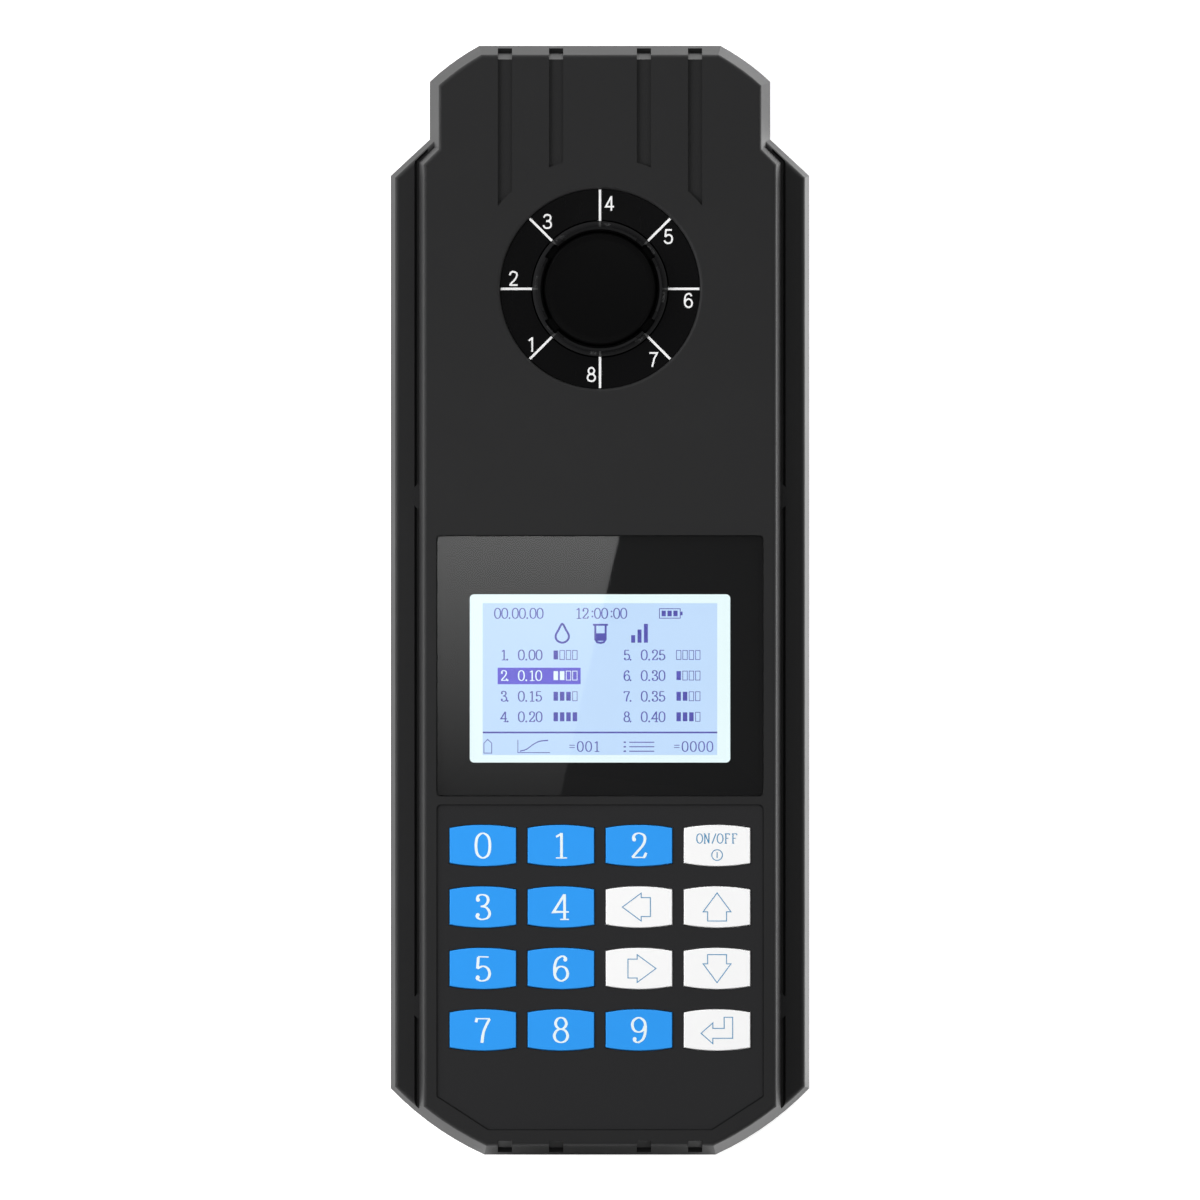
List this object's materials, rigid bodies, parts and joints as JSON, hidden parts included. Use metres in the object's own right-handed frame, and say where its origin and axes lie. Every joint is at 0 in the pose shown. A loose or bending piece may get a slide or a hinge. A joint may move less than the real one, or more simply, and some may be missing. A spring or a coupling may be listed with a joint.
{
  "type": "portable lead analyzer",
  "caption": "Handheld photometer that measures lead in a water sample: dial ring round a sample well, display and keypad on a two-part case with a hinged battery door.",
  "frame": {"origin": "middle of the case's footprint, on the surface that its feet stand on", "axes": "+Z out of the face, +Y along the case to the head with the sample well, X across the width"},
  "size_m": [0.0888, 0.235, 0.0479],
  "materials": {
    "case_plastic": "fine matt grain, dark grey",
    "seal_rubber": "matt",
    "foot_rubber": "matt",
    "steel": "plain",
    "spring_steel": "plain",
    "brass": "knurled",
    "dial_gloss": "polished black",
    "collar_gloss": "polished black",
    "plug_gloss": "satin black",
    "optic_black": "matt black",
    "clear_glass": "polished",
    "filter_glass": "coated",
    "lamp_epoxy": "clear epoxy",
    "circuit_board": "green solder mask",
    "component_black": "moulded",
    "socket_plastic": "plain",
    "ribbon": "plain",
    "panel_clear": "polished acrylic",
    "mask_print": "black print",
    "display_glass": "lit display",
    "light_guide": "white",
    "key_sheet": "satin sheet",
    "key_blue": "satin blue",
    "key_white": "satin white",
    "tray_plastic": "plain",
    "cell_jacket": "plain sleeve"
  },
  "bodies": {
    "case": {"battery_cells": "cell_jacket", "battery_contacts": "spring_steel", "battery_posts": "brass", "battery_springs": "spring_steel", "battery_tray": "tray_plastic", "board_parts": "component_black", "board_screws": "steel", "case_screws": "steel", "cell_holder": "optic_black", "cell_windows": "clear_glass", "detector_board": "circuit_board", "detector_housing": "optic_black", "dial_ring": "dial_gloss", "display_lens": "panel_clear", "display_mask": "mask_print", "door_pin": "steel", "front_shell": "case_plastic", "key_domes": "spring_steel", "keypad_board": "circuit_board", "keypad_overlay": "key_sheet", "lamp": "lamp_epoxy", "lamp_board": "circuit_board", "lamp_carrier": "optic_black", "lamp_lens": "clear_glass", "lcd_backlight": "light_guide", "lcd_panel": "display_glass", "light_filter": "filter_glass", "main_board": "circuit_board", "photodiode": "steel", "rear_shell": "case_plastic", "ribbon_cable": "ribbon", "ribbon_sockets": "socket_plastic", "rubber_feet": "foot_rubber", "seam_gasket": "seal_rubber", "threaded_inserts": "brass", "well_collar": "collar_gloss"},
    "plug": {"well_plug": "plug_gloss"},
    "door": {"battery_door": "case_plastic"},
    "key_0": {"key_0": "key_blue"},
    "key_1": {"key_1": "key_blue"},
    "key_2": {"key_2": "key_blue"},
    "key_3": {"key_3": "key_blue"},
    "key_4": {"key_4": "key_blue"},
    "key_5": {"key_5": "key_blue"},
    "key_6": {"key_6": "key_blue"},
    "key_7": {"key_7": "key_blue"},
    "key_8": {"key_8": "key_blue"},
    "key_9": {"key_9": "key_blue"},
    "key_down": {"key_down": "key_white"},
    "key_enter": {"key_enter": "key_white"},
    "key_left": {"key_left": "key_white"},
    "key_power": {"key_power": "key_white"},
    "key_right": {"key_right": "key_white"},
    "key_up": {"key_up": "key_white"}
  },
  "joints": [
    {"name": "plug_lift", "type": "slide", "parent": "case", "child": "plug", "axis": [0, 0, 1], "range_m": [0, 0.08]},
    {"name": "door_swing", "type": "hinge", "parent": "case", "child": "door", "pos_m": [0, -0.0968, 0.003], "axis": [-1, 0, 0], "range_deg": [0, 90]},
    {"name": "press_0", "type": "slide", "parent": "case", "child": "key_0", "axis": [0, 0, -1], "range_m": [0, 0.0004], "stiffness_N_per_m": 500, "springref_m": -0.0004},
    {"name": "press_1", "type": "slide", "parent": "case", "child": "key_1", "axis": [0, 0, -1], "range_m": [0, 0.0004], "stiffness_N_per_m": 500, "springref_m": -0.0004},
    {"name": "press_2", "type": "slide", "parent": "case", "child": "key_2", "axis": [0, 0, -1], "range_m": [0, 0.0004], "stiffness_N_per_m": 500, "springref_m": -0.0004},
    {"name": "press_3", "type": "slide", "parent": "case", "child": "key_3", "axis": [0, 0, -1], "range_m": [0, 0.0004], "stiffness_N_per_m": 500, "springref_m": -0.0004},
    {"name": "press_4", "type": "slide", "parent": "case", "child": "key_4", "axis": [0, 0, -1], "range_m": [0, 0.0004], "stiffness_N_per_m": 500, "springref_m": -0.0004},
    {"name": "press_5", "type": "slide", "parent": "case", "child": "key_5", "axis": [0, 0, -1], "range_m": [0, 0.0004], "stiffness_N_per_m": 500, "springref_m": -0.0004},
    {"name": "press_6", "type": "slide", "parent": "case", "child": "key_6", "axis": [0, 0, -1], "range_m": [0, 0.0004], "stiffness_N_per_m": 500, "springref_m": -0.0004},
    {"name": "press_7", "type": "slide", "parent": "case", "child": "key_7", "axis": [0, 0, -1], "range_m": [0, 0.0004], "stiffness_N_per_m": 500, "springref_m": -0.0004},
    {"name": "press_8", "type": "slide", "parent": "case", "child": "key_8", "axis": [0, 0, -1], "range_m": [0, 0.0004], "stiffness_N_per_m": 500, "springref_m": -0.0004},
    {"name": "press_9", "type": "slide", "parent": "case", "child": "key_9", "axis": [0, 0, -1], "range_m": [0, 0.0004], "stiffness_N_per_m": 500, "springref_m": -0.0004},
    {"name": "press_down", "type": "slide", "parent": "case", "child": "key_down", "axis": [0, 0, -1], "range_m": [0, 0.0004], "stiffness_N_per_m": 500, "springref_m": -0.0004},
    {"name": "press_enter", "type": "slide", "parent": "case", "child": "key_enter", "axis": [0, 0, -1], "range_m": [0, 0.0004], "stiffness_N_per_m": 500, "springref_m": -0.0004},
    {"name": "press_left", "type": "slide", "parent": "case", "child": "key_left", "axis": [0, 0, -1], "range_m": [0, 0.0004], "stiffness_N_per_m": 500, "springref_m": -0.0004},
    {"name": "press_power", "type": "slide", "parent": "case", "child": "key_power", "axis": [0, 0, -1], "range_m": [0, 0.0004], "stiffness_N_per_m": 500, "springref_m": -0.0004},
    {"name": "press_right", "type": "slide", "parent": "case", "child": "key_right", "axis": [0, 0, -1], "range_m": [0, 0.0004], "stiffness_N_per_m": 500, "springref_m": -0.0004},
    {"name": "press_up", "type": "slide", "parent": "case", "child": "key_up", "axis": [0, 0, -1], "range_m": [0, 0.0004], "stiffness_N_per_m": 500, "springref_m": -0.0004}
  ]
}
